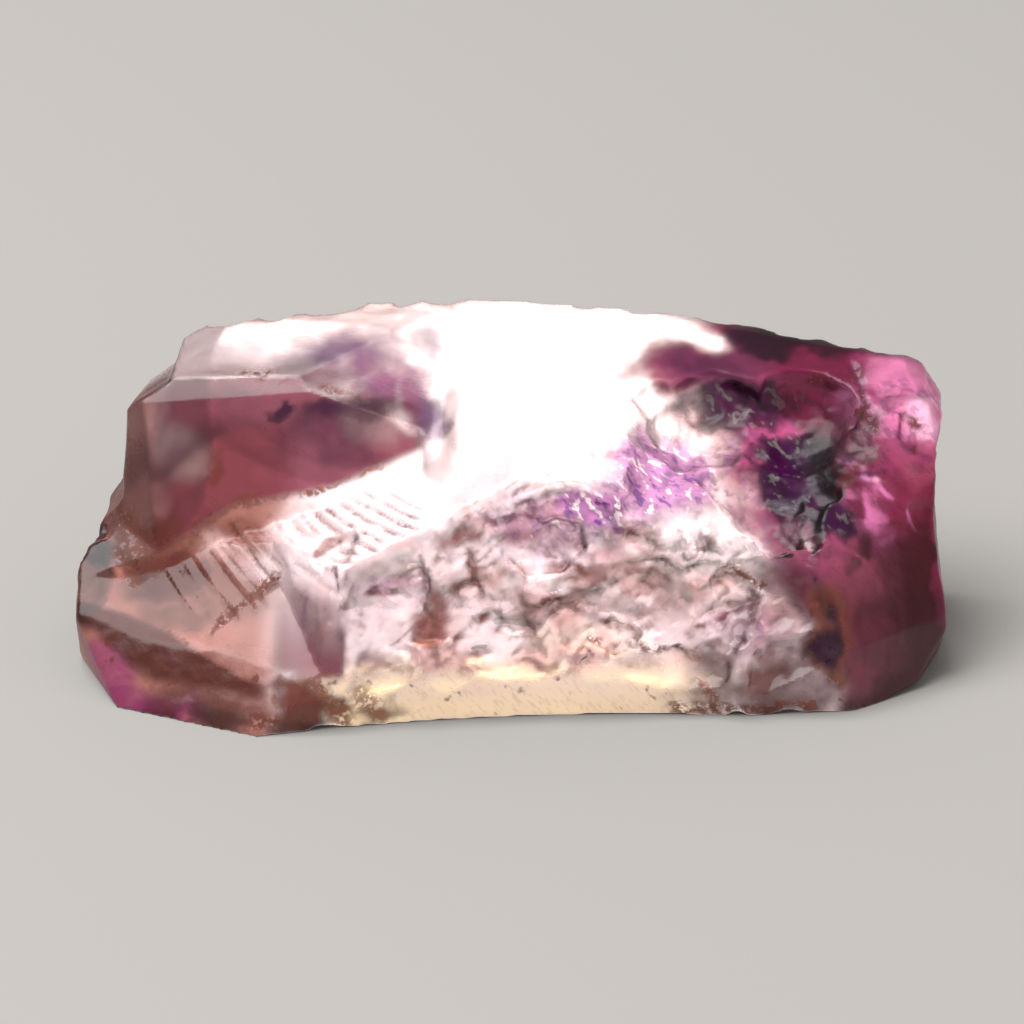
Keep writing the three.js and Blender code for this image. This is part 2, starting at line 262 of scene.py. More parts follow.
def ripple_waves(points, area):
    """-1 to 1 across the fine ripples round the blow, past the part of the scar that is smooth."""
    from_blow = np.linalg.norm(points - BLOW, axis=1) + 0.1 * lumps(points, 2.5, 2)
    past_smooth = smooth_step(8.4, 10.4, from_blow)
    uneven = 0.6 + 0.8 * lumps(points, 1.6, 2, seed=14)
    return area["scar"] * past_smooth * uneven * np.sin(2 * np.pi * from_blow / RIPPLE_SPACING)


def ripples(points, area):
    return RIPPLE_HEIGHT * ripple_waves(points, area)


def streak_waves(points, area):
    """About -1 to 1 across the streaks down the lower scar, which are of uneven width."""
    across = points @ unit(STREAKS_ACROSS) + 0.1 * lumps(points, 3, 2, seed=4)
    broad, fine = (np.sin(2 * np.pi * across / spacing) for spacing in STREAK_SPACINGS)
    return 0.5 * area["lower_scar"] * (broad + 0.8 * fine) * (1 + lumps(points, 1.5, 2, seed=6))


def streaks(points, area):
    return STREAK_HEIGHT * streak_waves(points, area)


def shingles(field, riser):
    """Overlapping shells, one for each whole number that the field passes.

    Each climbs slowly from 0 to 1 and drops back over the last share of its width, given by riser.
    Returns the height, and where the drops are.
    """
    share = field - np.floor(field)
    height = np.where(share < 1 - riser, share / (1 - riser), (1 - share) / riser)
    drop = smooth_step(1 - 1.6 * riser, 1 - 0.8 * riser, share)
    return height, drop


def step_lines(points):
    """The edges where shells of a hackly break overlap: heights and drops of large and small shells."""
    warp = np.stack([lumps(points, 2.6, 3, seed=s) for s in (7, 8, 9)], 1)
    warped = points + 0.9 * warp
    x, y, z = warped.T
    to_right = smooth_step(-3.5, 0.5, x)
    down = (0.3 * x - 0.95 * z) / 1.9
    across = (0.95 * x - 0.2 * z) / 2.1
    large = shingles(across + to_right * (down - across), 0.14)
    small = shingles((0.45 * x - 0.9 * z + 0.5 * y + 0.8 * warp[:, 0]) / 0.83, 0.3)
    return large, small


# Where one shell of the front overlaps the next: the height of the drop, and places along it as x and z.
FOLDS = [
    (0.34, [(-3.5, 6.6), (-3.3, 5.2), (-3.1, 3.7), (-2.8, 2.6)]),
    (0.26, [(-2.0, 7.6), (-2.4, 6.9), (-3.0, 6.1)]),
    (0.20, [(-1.7, 7.0), (-1.5, 6.1), (-1.4, 5.3)]),
    (0.22, [(-2.6, 5.5), (-1.3, 5.3), (-0.4, 4.9)]),
    (0.30, [(-2.7, 2.7), (-2.1, 3.4), (-1.4, 4.1), (-0.4, 4.2), (0.4, 3.8)]),
    (0.26, [(0.5, 4.8), (0.8, 4.0), (1.1, 2.9)]),
    (0.24, [(0.2, 4.6), (1.4, 5.0), (2.2, 4.8), (3.0, 3.9)]),
    (0.30, [(3.3, 3.9), (4.9, 3.3), (5.8, 2.8), (6.8, 2.7), (8.6, 2.1)]),
    (0.36, [(5.5, 6.6), (6.6, 5.8), (7.4, 5.9), (8.4, 6.1), (9.2, 5.4), (10.0, 4.5), (9.8, 3.8)]),
    (0.20, [(9.6, 3.9), (8.6, 3.5), (7.4, 3.2)]),
    (0.24, [(3.4, 8.1), (4.2, 7.5), (6.3, 6.7)]),
    (0.22, [(1.2, 6.5), (2.9, 6.0), (4.4, 5.4)]),
    (0.20, [(-1.4, 8.2), (0.6, 7.9), (2.4, 7.2)]),
    (0.20, [(-6.7, 4.9), (-5.4, 5.3), (-4.2, 5.1)]),
]

# How a fold's drop and line look, in mm: how far it wanders, fades from its line, and tapers at its ends.
FOLD_WANDER = 0.22
FOLD_FADE = 0.8
FOLD_TAPER = 0.9


def fold_lines(points):
    """The drops where shells overlap, in mm, and how close each point is to the dark line under a drop,
    painted as shade under the overhang, partly brown.
    """
    wander = FOLD_WANDER * np.stack([lumps(points, 0.9, 3, seed=61 + i) for i in range(2)], 1)
    seen = points[:, [0, 2]] + wander
    height = np.zeros(len(points))
    line = np.zeros(len(points))
    for drop, places in FOLDS:
        nearest = np.full(len(points), np.inf)
        side = np.zeros(len(points))
        for start, end in zip(places, places[1:]):
            (x, z), (run, rise) = start, np.subtract(end, start)
            offset = seen - start
            along = np.clip((offset @ (run, rise)) / (run**2 + rise**2), 0, 1)
            gap = np.hypot(*(offset - along[:, None] * (run, rise)).T)
            above = run * (seen[:, 1] - z) - rise * (seen[:, 0] - x)
            closer = gap < nearest
            side = np.where(closer, np.sign(above) * gap, side)
            nearest = np.minimum(gap, nearest)
        ends = np.minimum(np.hypot(*(seen - places[0]).T), np.hypot(*(seen - places[-1]).T))
        full = smooth_step(0, FOLD_TAPER, ends)
        height += drop * full * smooth_step(-0.1, 0.1, side) * np.exp(-nearest / FOLD_FADE)
        dark = smooth_step(0.26, 0.05, np.abs(side + 0.1)) * (nearest < 0.5)
        line = np.maximum(line, (0.35 + 0.65 * full) * dark)
    return height, line


def hackles(points, area):
    """The shells, scales and creases of a hackly break, which lean down to the right."""
    (large, _), (small, _) = step_lines(points)
    folds, _ = fold_lines(points)
    leaning = points @ np.array([[0.8, 0, 0.6], [0, 1.0, 0], [-0.9, 0, 1.2]])
    warped = leaning + 0.25 * np.stack([lumps(points, 1.3, 2, seed=s) for s in (17, 18, 19)], 1)
    fading = smooth_step(-0.35, 0.25, lumps(points, 3.2, 2, seed=12))
    scaly = area["scaly"]
    shells = 0.14 * (large - 0.5) * (0.35 + 0.65 * fading) + 0.07 * (small - 0.5) * (1.2 - fading)
    flats = 0.07 * (1 - 0.6 * area["hollow"]) * scales(warped, 2.1, seed=2)
    flakes = (0.05 + 0.06 * scaly) * scales(warped, 0.9, seed=3)
    small_flakes = 0.05 * area["hollow"] * scales(warped, 0.5, seed=5)
    grain = 0.03 * lumps(leaning, 0.45, 2, seed=3)
    overlapping = (0.5 * shells + 0.35 * folds) * (1 - scaly)
    return area["hackly"] * (overlapping + flats + flakes + small_flakes + grain)


# Cracks in the corner lump: from, to, radius and depth, in mm.
CRACKS = [
    ([14.2, 3.9, 11.3], [14.7, 2.2, 10.6], 0.3, 0.14),
    ([14.7, 2.2, 10.6], [14.5, 1.9, 10.0], 0.25, 0.1),
    ([14.5, 1.9, 10.0], [13.7, 1.8, 9.0], 0.25, 0.1),
    ([15.2, -0.1, 8.5], [13.6, -0.6, 8.2], 0.35, 0.12),
    ([16.3, 1.7, 10.1], [16.8, 1.8, 9.4], 0.35, 0.12),
]


def cracks(points):
    wander = 0.3 * np.stack([lumps(points, 0.9, 2, seed=31 + i) for i in range(3)], 1)
    depth = np.zeros(len(points))
    for start, end, radius, deep in CRACKS:
        depth = np.maximum(depth, deep * streak(points + wander, start, end, radius))
    return depth


def pits(points, area):
    """Lumps, pits and cracks in the corner."""
    knobs = 0.16 * lumps(points, 1.9, 2, seed=5) + 0.07 * lumps(points, 0.7, 3, seed=15)
    scattered = smooth_step(0, 0.3, lumps(points, 2.2, 1, seed=16))
    holes = 0.14 * scattered * smooth_step(0.36, 0.12, cells(points, 0.95, seed=1))
    return area["corner"] * (knobs - holes) - cracks(points)


def unevenness(points, area):
    """The slight waviness that even the smooth faces have, and the rougher skin of the old faces."""
    worn = 0.6 * np.maximum(area["back"], area["right"])
    old = np.maximum.reduce([area["foot"], area["brown"], area["left"], worn])
    down = points * np.array([1.0, 1.0, 0.3])
    flutes = 0.035 * area["right"] * lumps(down, 0.9, 2, seed=10)
    return 0.03 * lumps(points, 5, 2, seed=8) + (0.006 + 0.05 * old) * lumps(points, 1.2, 4, seed=9) + flutes


def shape(skin, surface):
    """Gives the fine mesh the stone's own surface, and returns its kinds of surface."""
    skin.snap(surface)
    area = areas(skin.points, skin.normals())
    skin.relax(np.full(skin.count, SOFTENING_SHARE), SOFTENING_STEPS)
    rounded = [ball(skin.points, *place) for place in ROUNDED]
    skin.relax(ROUNDING_SHARE * np.maximum.reduce([area["step"], *rounded]), ROUNDING_STEPS)
    points = skin.points.copy()
    above_base = smooth_step(0.05, 0.6, points[:, 2])
    for relief in (ripples, streaks, hackles, pits, unevenness):
        skin.raise_by(above_base * relief(points, area))
    low, high = (np.array(corner) / MM for corner in CAD_BOX)
    skin.points = np.clip(skin.points, low, high)
    skin.store()
    return area


# --- Colour zones and stains ---

# Where each tint lies: the middle and radii of an ellipsoid, in mm, its soft edge, and how strong it is.
PATCHES = [
    ("lavender", [6.2, -1.4, 8.8], [4.2, 3.8, 2.1], 0.6, 0.9),
    ("lavender", [3.4, -2.6, 8.2], [2.4, 2.0, 1.5], 0.6, 1.0),
    ("lavender", [7.4, -2.0, 7.6], [2.2, 1.8, 1.2], 0.8, 0.7),
    ("lavender", [8.8, -2.2, 6.8], [1.7, 1.7, 1.2], 0.8, 0.6),
    ("lavender", [-5.0, -4.0, 5.4], [2.5, 2.5, 1.0], 0.8, 0.35),
    ("lavender", [1.6, -2.8, 7.4], [4.6, 2.6, 1.9], 0.9, 0.5),
    ("lavender", [9.6, -4.6, 3.6], [2.5, 1.9, 1.3], 0.8, 0.35),
    ("brown", [-14.4, -1.4, 4.5], [2.6, 2.0, 1.9], 0.7, 0.9),
    ("brown", [-14.0, -3.2, 3.3], [3.6, 1.6, 1.0], 0.8, 0.4),
    ("yellow", [3.0, -4.8, 3.2], [3.4, 1.8, 1.2], 0.7, 0.8),
    ("rose", [-9.0, -1.4, 6.6], [3.6, 1.7, 1.3], 0.6, 0.3),
    ("smoky", [-3.1, -4.8, 4.2], [0.8, 1.4, 1.7], 0.6, 0.9),
    ("smoky", [-1.9, -4.4, 5.3], [1.0, 1.2, 0.6], 0.6, 0.8),
    ("smoky", [-2.2, -3.4, 7.2], [1.4, 1.2, 0.8], 0.7, 0.7),
    ("smoky", [0.9, -4.6, 3.8], [0.7, 1.2, 1.2], 0.7, 0.8),
    ("smoky", [3.0, -3.8, 5.8], [1.8, 1.2, 0.6], 0.6, 0.7),
    ("smoky", [0.8, -3.6, 7.0], [2.3, 1.2, 0.7], 0.7, 0.5),
    ("smoky", [6.2, -3.6, 4.8], [1.4, 1.1, 0.7], 0.8, 0.3),
    ("smoky", [10.4, -4.6, 3.2], [2.6, 1.8, 2.3], 0.8, 0.35),
    ("smoky", [6.6, 3.2, 11.4], [2.3, 1.9, 1.2], 0.7, 0.9),
    # Painted shadow: violet patches on the roof above the window, where the window's recess shades it.
    ("violet_painted_shadow", [-6.8, 3.1, 12.0], [3.6, 2.6, 1.4], 0.9, 1.0),
    ("violet_painted_shadow", [-4.8, 2.0, 11.3], [2.4, 2.4, 1.4], 0.7, 1.0),
    ("violet_painted_shadow", [-3.6, 1.2, 10.5], [1.3, 2.1, 1.5], 0.6, 1.0),
    ("violet_painted_shadow", [-3.4, 4.0, 12.2], [1.0, 2.8, 1.1], 0.9, 0.45),
    ("plum", [-4.6, -5.4, 2.7], [2.5, 1.2, 0.5], 0.6, 0.6),
    ("dark", [11.6, 0.8, 7.8], [2.3, 2.8, 1.8], 0.4, 1.0),
    ("dark", [9.6, 2.9, 10.0], [3.2, 1.8, 1.1], 0.5, 0.6),
    ("dark", [13.2, -1.4, 7.0], [1.3, 1.7, 1.3], 0.6, 0.9),
    ("dark", [11.4, 5.2, 11.9], [4.0, 1.4, 0.9], 0.6, 0.65),
    ("dark", [8.2, 3.6, 11.4], [3.6, 2.2, 1.3], 0.9, 0.42),
    ("dark", [-7.2, 0.9, 9.6], [3.6, 1.8, 1.8], 0.9, 0.32),
    ("dark", [-6.6, 1.1, 10.5], [3.4, 1.6, 0.7], 0.8, 0.46),
    ("dark", [-9.6, 1.4, 10.6], [0.7, 0.9, 0.4], 0.5, 0.5),
    ("dark", [13.0, -4.9, 2.7], [0.6, 1.1, 1.5], 0.6, 0.5),
    ("dark", [-17.0, -0.4, 4.4], [0.8, 1.1, 0.6], 0.7, 0.45),
    ("magenta", [-17.0, -4.2, 1.1], [2.3, 2.5, 1.6], 0.5, 1.0),
    ("magenta", [-14.8, -5.8, 0.2], [3.0, 1.9, 1.0], 0.6, 1.0),
    ("magenta", [18.2, 0.0, 5.6], [0.9, 4.4, 3.9], 0.7, 0.9),
    ("magenta", [15.6, -0.6, 7.4], [2.3, 2.5, 1.8], 0.8, 0.8),
    ("pink", [16.8, 3.4, 9.6], [3.2, 6.1, 2.7], 0.4, 1.0),
    ("pink", [14.8, 1.6, 9.6], [2.2, 3.0, 2.1], 0.5, 1.0),
    ("brown", [-12.6, -6.2, 0.8], [4.0, 1.9, 1.2], 0.6, 0.5),
    ("brown", [-8.3, -6.7, 1.0], [1.8, 1.4, 1.7], 0.5, 1.0),
    ("brown", [-5.6, -6.4, 0.6], [1.6, 1.4, 0.6], 0.8, 0.5),
    ("brown", [10.2, -5.0, 1.2], [4.4, 2.1, 1.7], 0.7, 0.85),
    ("brown", [12.9, -4.6, 3.0], [1.1, 1.8, 2.6], 0.6, 1.0),
    ("brown", [-14.6, -0.2, 5.8], [1.6, 1.1, 1.0], 0.8, 0.8),
    ("brown", [-15.6, -0.9, 4.4], [1.6, 1.4, 0.9], 0.7, 0.7),
    ("brown", [-12.2, 0.5, 8.3], [0.5, 0.9, 1.1], 0.7, 0.5),
]

# Places that stay clear whatever lies round them: from, to and radius, in mm, and how clear.
CLEAR_PLACES = [
    ([-6.1, -4.8, 4.2], [-5.0, -4.8, 3.5], 1.5, 1.0),
    ([-4.4, -4.6, 4.8], [-4.4, -4.9, 3.6], 1.0, 1.0),
    ([-1.3, -4.9, 3.5], [-0.3, -4.9, 3.2], 1.5, 1.0),
    ([-0.2, -4.6, 5.6], [0.0, -4.2, 5.6], 0.7, 0.8),
    ([1.6, -4.4, 5.5], [2.2, -4.4, 5.3], 0.6, 0.8),
    ([7.4, -3.2, 7.0], [9.6, -2.8, 6.6], 1.9, 1.0),
    ([-13.8, 0.8, 8.9], [-13.3, 0.8, 8.5], 1.4, 0.45),
    ([-6.4, 0.8, 10.2], [-5.0, 0.7, 10.0], 1.1, 0.22),
    ([5.2, -4.6, 3.8], [6.4, -4.6, 3.2], 0.8, 0.7),
    ([-17.4, -1.8, 3.35], [-13.6, -4.0, 2.9], 0.3, 0.2),
    ([-13.6, -4.0, 2.9], [-10.6, -5.9, 2.3], 0.4, 0.4),
    ([-12.4, -0.9, 5.6], [-10.2, -2.4, 5.0], 0.8, 0.8),
    ([-4.6, 6.0, 12.9], [-4.5, 0.8, 10.4], 0.28, 0.3),
    ([4.4, 6.4, 12.8], [6.6, 5.6, 12.4], 1.6, 1.0),
    ([6.6, 5.4, 12.4], [8.6, 4.7, 11.9], 0.9, 1.0),
    ([17.0, 1.8, 10.3], [17.3, 1.4, 9.4], 1.6, 0.95),
    ([14.6, 1.0, 9.6], [15.2, 0.8, 9.2], 1.3, 0.7),
    ([11.8, -1.4, 6.8], [12.4, -3.1, 5.6], 0.3, 0.8),
]

# Rust and dirt: from, to and radius, in mm, and strength.
STAINS = [
    ([-15.6, 1.6, 8.8], [-14.6, 3.4, 10.6], 0.45, 0.6),
    ([-15.0, 2.0, 9.8], [-14.0, 4.0, 10.7], 0.3, 0.8),
    ([-14.2, 4.2, 10.7], [-10.8, 2.6, 11.4], 0.28, 1.0),
    ([-10.8, 2.5, 11.4], [-6.6, 1.5, 11.3], 0.22, 0.9),
    ([-6.6, 1.4, 11.3], [-4.8, 0.9, 10.8], 0.2, 0.7),
    ([-10.9, 2.5, 11.5], [-10.1, 2.4, 11.5], 0.4, 1.0),
    ([-3.1, -0.4, 10.9], [-2.8, -0.3, 11.0], 0.4, 0.9),
    ([-12.3, -0.2, 7.1], [-12.2, -0.2, 7.2], 0.35, 0.8),
    ([-14.3, -0.7, 5.1], [-12.9, -0.4, 6.0], 0.4, 0.4),
    ([-12.9, -0.4, 6.0], [-11.6, -0.2, 6.8], 0.25, 0.5),
    ([-11.6, -0.2, 6.8], [-10.4, -0.2, 7.1], 0.3, 0.8),
    ([-10.4, -0.2, 7.1], [-7.5, -0.2, 7.7], 0.18, 0.8),
    ([-7.5, -0.2, 7.7], [-4.0, -0.2, 9.2], 0.14, 0.5),
    ([-15.8, 0.6, 5.6], [-15.2, -0.8, 4.7], 1.0, 0.55),
    ([-16.4, 1.0, 6.4], [-15.6, 0.2, 5.2], 0.5, 0.7),
    ([-16.2, -0.2, 4.6], [-15.4, -1.2, 4.0], 0.5, 1.0),
    ([-12.1, -3.6, 3.1], [-9.6, -2.8, 4.9], 0.32, 1.0),
    ([-12.2, -3.7, 2.7], [-11.8, -3.6, 3.1], 0.3, 0.7),
    ([-10.9, -7.1, 0.6], [-9.6, -7.0, 0.5], 0.55, 1.0),
    ([-8.0, -6.7, 2.0], [-6.8, -6.6, 0.4], 0.7, 0.75),
    ([-6.2, -6.4, 1.5], [-5.4, -6.3, 0.5], 0.6, 0.5),
    ([6.6, -5.6, 0.3], [12.0, -5.4, 0.4], 0.45, 0.8),
    ([7.4, -5.6, 1.7], [8.4, -5.6, 0.8], 0.3, 0.8),
    ([12.4, -4.2, 4.6], [12.8, -4.6, 3.6], 0.5, 0.8),
    ([12.8, -4.6, 3.6], [13.4, -5.3, 1.8], 0.8, 1.0),
    ([5.2, -3.2, 6.2], [7.4, -3.4, 5.8], 0.2, 0.8),
    ([7.4, -3.4, 6.0], [9.0, -3.1, 5.7], 0.26, 1.0),
    ([9.0, -3.1, 5.8], [10.2, -3.3, 4.7], 0.28, 1.0),
    ([10.2, -3.3, 4.6], [9.8, -4.1, 3.8], 0.2, 0.8),
    ([3.0, -4.8, 3.2], [6.6, -5.0, 2.6], 0.2, 0.6),
    ([12.5, 3.4, 10.9], [13.2, 3.4, 10.8], 0.35, 0.9),
    ([14.3, 3.6, 11.2], [14.8, 1.9, 10.4], 0.25, 0.9),
    ([14.8, 1.3, 9.9], [14.4, 2.1, 10.1], 0.4, 0.8),
    ([14.4, 2.1, 10.1], [13.7, 2.0, 9.0], 0.25, 0.8),
    ([14.3, -0.4, 8.7], [13.6, -0.6, 8.2], 0.45, 0.6),
    ([16.3, 1.7, 10.1], [16.7, 1.8, 9.6], 0.3, 0.9),
]

# Black specks: middle and radius, in mm.
SPECKS = [
    ([-7.2, -6.5, 2.1], 0.26),
    ([-6.9, -6.6, 1.3], 0.2),
    ([0.4, -5.7, 1.3], 0.24),
    ([7.7, -5.6, 0.3], 0.22),
]

# The window's lower edge, and the slope that cuts its upper right corner, as x and z.
WINDOW_EDGE = ([-15.4, -14.3, -11.6, -7.5, -3.3], [4.6, 5.1, 6.8, 7.7, 9.6])
WINDOW_CORNER = ([-8.0, -6.6, -5.2, -4.2], [12.0, 11.3, 10.7, 9.8])


def tints(points, area):
    """How much of each tint there is at each point, 0 to 1. The rest lie in patches alone."""
    x, y, z = points.T
    wander = lumps(points, 4, 3, seed=20)
    ragged = 0.7 * np.stack([lumps(points, 1.6, 4, seed=s) for s in (21, 22, 23)], 1)
    # The right end, past a slanting edge of the broken front.
    past_front = x - 6.0 - 0.76 * (12 - z) - 2.2 * smooth_step(3.6, 6.2, y) + 1.2 * wander + ragged[:, 0]
    right = smooth_step(-1.2, 1.4, past_front)
    # The window at the upper left, with its top and far end paler, and the low left end under it.
    above_edge = smooth_step(-0.25, 0.25, z - np.interp(x, *WINDOW_EDGE))
    under_corner = smooth_step(0.25, -0.25, z - np.interp(x, *WINDOW_CORNER))
    far_top = smooth_step(2.4, 4.4, y) * smooth_step(5.5, 8.0, z)
    left = smooth_step(-3.4, -4.2, x) * above_edge * (1 - area["roof"]) * (0.3 + 0.7 * under_corner)
    far_left = smooth_step(-13.8, -15.4, x)
    left *= (1 - 0.85 * far_top) * (1 - 0.7 * far_left)
    low_left = smooth_step(-8.5, -10.5, x + wander) * (1 - above_edge)
    low_left *= 1 - 0.3 * np.maximum(area["base"], area["back"])
    # The broken front, the foot under it, and the block beside it.
    patchy = smooth_step(-0.15, 0.45, lumps(points @ np.diag([0.8, 1, 1.3]), 2.0, 4, seed=24))
    hackly = area["hackly"] * (1 - right)
    foot = smooth_step(2.9, 2.2, z + 0.3 * wander) * smooth_step(-1.0, -4.0, y)
    block = smooth_step(-10.0, -9.2, x) * smooth_step(-6.7, -6.95, x + 0.3 * ragged[:, 0])
    block *= smooth_step(5.4, 4.6, z) * smooth_step(2.1, 2.5, z) * smooth_step(-3.0, -3.8, y)
    amount = {name: np.zeros(len(points)) for name in TINTS} | {
        "champagne": smooth_step(-0.3, 0.3, lumps(points, 5, 2, seed=26)),
        "yellow": foot * smooth_step(-9.5, -6.5, x) * smooth_step(10.5, 5.0, x),
        "rose": np.maximum(low_left, far_left * above_edge * (1 - far_top)),
        "blush": hackly * (0.12 + 0.6 * patchy),
        "smoky": 0.2 * hackly * smooth_step(0.0, 0.5, lumps(points, 1.1, 3, seed=25)),
        "plum": np.maximum(left, block * (0.5 + 0.45 * smooth_step(4.4, 2.6, z))),
        "wine": right,
        "oxblood": right * smooth_step(7.5, 3.5, z + wander),
        "brown": np.maximum(area["low_face"], 0.22 * area["lower_scar"]),
    }
    moved = points + ragged
    for name, centre, radii, edge, strength in PATCHES:
        amount[name] = np.maximum(amount[name], strength * ball(moved, centre, radii, edge))
    clear = np.zeros(len(points))
    for start, end, radius, strength in CLEAR_PLACES:
        clear = np.maximum(clear, strength * streak(points + 0.3 * ragged, start, end, radius))
    amount["lavender"] *= 1 - right
    return {name: values * (1 - clear) for name, values in amount.items()}


def steeped(share, tint):
    """How much of a tint to mix into clear stone, so that equal steps of share look equally deep."""
    through = np.mean(tint[:3])
    return (1 - through**share) / (1 - through)


def stains(points):
    """How much rust or dirt lies on each point, 0 to 1."""
    wander = 0.3 * np.stack([lumps(points, 0.8, 3, seed=11 + i) for i in range(3)], 1)
    amount = np.zeros(len(points))
    for start, end, radius, strength in STAINS:
        amount = np.maximum(amount, strength * streak(points + wander, start, end, radius))
    return amount


def specks(points):
    wander = 0.15 * np.stack([lumps(points, 0.4, 2, seed=41 + i) for i in range(3)], 1)
    return np.maximum.reduce([streak(points + wander, middle, middle, radius) for middle, radius in SPECKS])


def crease_shade_and_dirt(points, area, hollowness):
    """Painted shade where a break's shells overlap or fold, and in hollows, ripple troughs and cracks, with
    brown colour along the fold lines.
    """
    (_, large), (_, small) = step_lines(points)
    _, folds = fold_lines(points)
    patchy = smooth_step(-0.1, 0.4, lumps(points, 1.8, 3, seed=13))
    # Darkening in hollows of the surface is painted shade in recesses.
    hollows = smooth_step(0.015, 0.06, hollowness)
    shells = np.maximum(0.5 * large, 0.4 * small) * patchy
    broken = np.maximum.reduce([shells, hollows * (0.4 + 0.6 * patchy), folds]) * area["hackly"]
    # Darker ripple and streak troughs are painted shade.
    troughs = smooth_step(0.1, -0.9, ripple_waves(points, area) + streak_waves(points, area))
    struck = 0.8 * troughs * np.maximum(area["scar"], area["lower_scar"])
    # Darker cracks in the corner are painted shade in the crevices, partly brown.
    cracked = np.maximum(0.6 * hollows * area["corner"], 0.6 * smooth_step(0.04, 0.16, cracks(points)))
    return np.maximum.reduce([broken, cracked, struck])


def roughness(area):
    """Fresh breaks are glossy, and old skin is frosted. Each kind is laid over those before it."""
    kinds = {
        "window": 0.2,
        "roof": 0.25,
        "right": 0.3,
        "hackly": 0.2,
        "hollow": 0.35,
        "scar": 0.12,
        "lower_scar": 0.16,
        "corner": 0.25,
        "brown": 0.3,
        "foot": 0.45,
        "left": 0.45,
        "back": 0.45,
        "base": 0.6,
    }
    usual = 0.2
    rough = np.full(len(area["scar"]), usual)
    for kind, value in kinds.items():
        rough += area[kind] * (value - rough)
    return rough


def write_attributes(mesh, values):
    for name, numbers in values.items():
        attribute = mesh.attributes.new(name, "FLOAT", "POINT")
        attribute.data.foreach_set("value", numbers.astype(np.float32))


# --- Materials ---


def srgb(code):
    """A colour written as six hex digits, in the linear numbers that shaders use."""
    parts = [int(code[i:i + 2], 16) / 255 for i in (0, 2, 4)]
    return (*(p / 12.92 if p <= 0.04045 else ((p + 0.055) / 1.055) ** 2.4 for p in parts), 1.0)


# The crystal's tints, each laid over those before it.
TINTS = {
    "champagne": srgb("fcece4"),
    "yellow": srgb("fbecbc"),
    "rose": srgb("9c6252"),
    "blush": srgb("c88c80"),
    "lavender": srgb("8c4488"),
    # Painted shadow on the roof above the window, in violet.
    "violet_painted_shadow": srgb("301a34"),
    "smoky": srgb("582420"),
    "plum": srgb("3c0f18"),
    "wine": srgb("560c2c"),
    "oxblood": srgb("2e050c"),
    "magenta": srgb("8a2c60"),
    "pink": srgb("c4749c"),
    "brown": srgb("2c0804"),
    "dark": srgb("030003"),
}
CLEAR = srgb("fffaf6")
# Colours of the painted shade in creases, partly brown dirt, violet in purple zones.
CREASE_SHADE_AND_DIRT = srgb("3c1408")
VIOLET_CREASE_SHADE = srgb("3a1848")
SPOT = srgb("2c0c50")
RUST = srgb("42180a")
HATCH = srgb("c0a098")
SPECK = srgb("1c0c06")
PAPER = srgb("dcd8d4")
ABSORPTION = srgb("e6cfe6")
ABSORPTION_DENSITY = 30.0
QUARTZ_IOR = 1.544
GRAIN_DEPTH = 0.06 * MM


class Nodes:
    """Short ways to build a material's nodes."""

    def __init__(self, name):
        self.material = bpy.data.materials.new(name)
        self.material.use_nodes = True
        self.tree = self.material.node_tree
        self.tree.nodes.clear()

    def add(self, kind, **settings):
        node = self.tree.nodes.new(kind)
        for name, value in settings.items():
            setattr(node, name, value)
        return node

    def put(self, value, socket):
        """Sets a socket to a number or colour, or links it to another node's output."""
        if isinstance(value, bpy.types.NodeSocket):
            self.tree.links.new(value, socket)
        else:
            socket.default_value = value

    def attribute(self, name):
        return self.add("ShaderNodeAttribute", attribute_name=name).outputs["Fac"]

    def math(self, operation, a, b=0.0, clamp=False):
        node = self.add("ShaderNodeMath", operation=operation, use_clamp=clamp)
        self.put(a, node.inputs[0])
        self.put(b, node.inputs[1])
        return node.outputs[0]

    def mix(self, factor, a, b, blend="MIX"):
        """Colour a where factor is 0, and colour b, or a blended with b, where it is 1."""
        node = self.add("ShaderNodeMix", data_type="RGBA", blend_type=blend)
        sockets = [s for s in node.inputs if s.enabled]
        for value, socket in zip((factor, a, b), sockets):
            self.put(value, socket)
        return next(s for s in node.outputs if s.enabled)

    def noise(self, size, detail=3.0, roughness=0.5, stretch=1.0):
        """Noise in the stone's own space, with lumps of that size in mm, stretched down to the right."""
        mapping = self.add("ShaderNodeMapping", vector_type="TEXTURE")
        mapping.inputs["Rotation"].default_value = (0, LEAN, 0)
        mapping.inputs["Scale"].default_value = (stretch, 1, 1)
        self.put(self.add("ShaderNodeTexCoord").outputs["Object"], mapping.inputs["Vector"])
        node = self.add("ShaderNodeTexNoise")
        self.put(mapping.outputs["Vector"], node.inputs["Vector"])
        node.inputs["Scale"].default_value = 1 / (size * MM)
        node.inputs["Detail"].default_value = detail
        node.inputs["Roughness"].default_value = roughness
        return node.outputs["Fac"]

    def between(self, value, low, high, to_high=1.0):
        """0 under low, to_high over high, and a smooth change between them."""
        node = self.add("ShaderNodeMapRange", interpolation_type="SMOOTHSTEP")
        for name, number in (("From Min", low), ("From Max", high), ("To Max", to_high)):
            node.inputs[name].default_value = number
        self.put(value, node.inputs["Value"])
        return node.outputs["Result"]

    def finish(self, surface, volume=None):
        output = self.add("ShaderNodeOutputMaterial")
        self.put(surface, output.inputs["Surface"])
        if volume:
            self.put(volume, output.inputs["Volume"])
        return self.material


